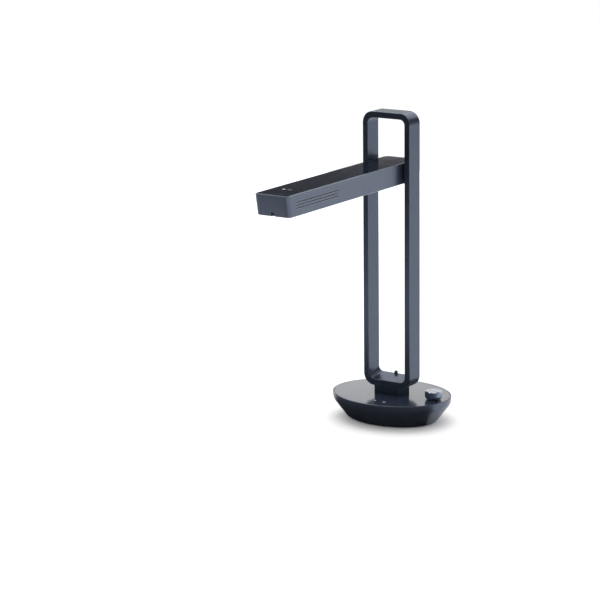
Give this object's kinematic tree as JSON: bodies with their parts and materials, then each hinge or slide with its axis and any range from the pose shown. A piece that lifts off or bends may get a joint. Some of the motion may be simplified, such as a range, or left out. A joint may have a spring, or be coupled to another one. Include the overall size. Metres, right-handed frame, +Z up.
{
  "type": "folding desk book scanner",
  "caption": "Overhead book scanner: a camera and lamp arm hinged in an upright loop on an oval weighted base, folding flush into the loop, with a control knob.",
  "frame": {"origin": "centre of the foot ring, on the desk surface", "axes": "+Z up along the loop; -Y is the front, over which the arm reaches; +X is the right-hand side with the knob"},
  "size_m": [0.1398, 0.2909, 0.347],
  "materials": {
    "blue_anodised": "satin slate-blue coat",
    "gloss_dark": "mirror-gloss dark panel",
    "steel": "plain zinc-plated steel",
    "aluminium_bare": "bare aluminium",
    "black_plastic": "fine matte",
    "rubber": "matte rubber",
    "milky": "milky diffuser",
    "glass": "clear coated glass",
    "board": "solder-masked circuit board",
    "cable": "flat flexible cable",
    "brass": "turned brass",
    "led": "lamp chip"
  },
  "bodies": {
    "base": {"base_shell": "blue_anodised", "port_tray": "black_plastic", "base_top_plate": "gloss_dark", "status_light_pipes": "milky", "bottom_cover": "black_plastic", "rubber_foot_ring": "rubber", "bottom_cover_screws": "steel", "ballast_plate": "steel", "column_screws": "steel", "column_frame": "blue_anodised", "channel_cover": "blue_anodised", "fold_nub": "rubber", "column_wire_harness": "cable", "hinge_spindles": "steel", "thrust_washers": "black_plastic", "spring_washers": "steel", "hinge_nuts": "steel", "main_board": "board", "board_screws": "steel", "board_spacers": "brass", "board_components": "black_plastic", "dc_inlet": "black_plastic", "usb_port": "steel", "switch_housing": "black_plastic", "encoder_body": "black_plastic", "encoder_nut": "brass"},
    "arm": {"hinge_blocks": "aluminium_bare", "head_shell": "blue_anodised", "head_top_panel": "gloss_dark", "key_light_pipes": "milky", "touch_board": "board", "head_bottom_cover": "black_plastic", "head_cover_screws": "steel", "front_diffuser": "milky", "main_diffuser": "milky", "led_heat_sinks": "aluminium_bare", "led_boards": "board", "led_chips": "led", "head_chassis": "steel", "chassis_screws": "steel", "camera_board": "board", "camera_screws": "steel", "lens_holder": "black_plastic", "lens_barrel": "black_plastic", "front_lens": "glass", "lens_bezel": "aluminium_bare", "lens_window": "glass", "head_wire_harness": "cable"},
    "knob_plunger": {"encoder_plunger": "black_plastic"},
    "knob": {"knob_shaft": "steel", "knob_cap": "blue_anodised"},
    "power_switch": {"power_rocker": "black_plastic"}
  },
  "joints": [
    {"name": "arm_fold", "type": "hinge", "parent": "base", "child": "arm", "pos_m": [0, 0, 0.281], "axis": [1, 0, 0], "range_deg": [0, 90]},
    {"name": "knob_press", "type": "slide", "parent": "base", "child": "knob_plunger", "axis": [0, 0, -1], "range_m": [0, 0.0006], "stiffness_N_per_m": 2500, "springref_m": -0.0008},
    {"name": "knob_turn", "type": "hinge", "parent": "knob_plunger", "child": "knob", "pos_m": [0.0538, 0, 0.0355], "axis": [0, 0, 1], "continuous": true},
    {"name": "power_rock", "type": "hinge", "parent": "base", "child": "power_switch", "pos_m": [0.014, 0.0388, 0.0185], "axis": [1, 0, 0], "range_deg": [-14, 0]}
  ]
}
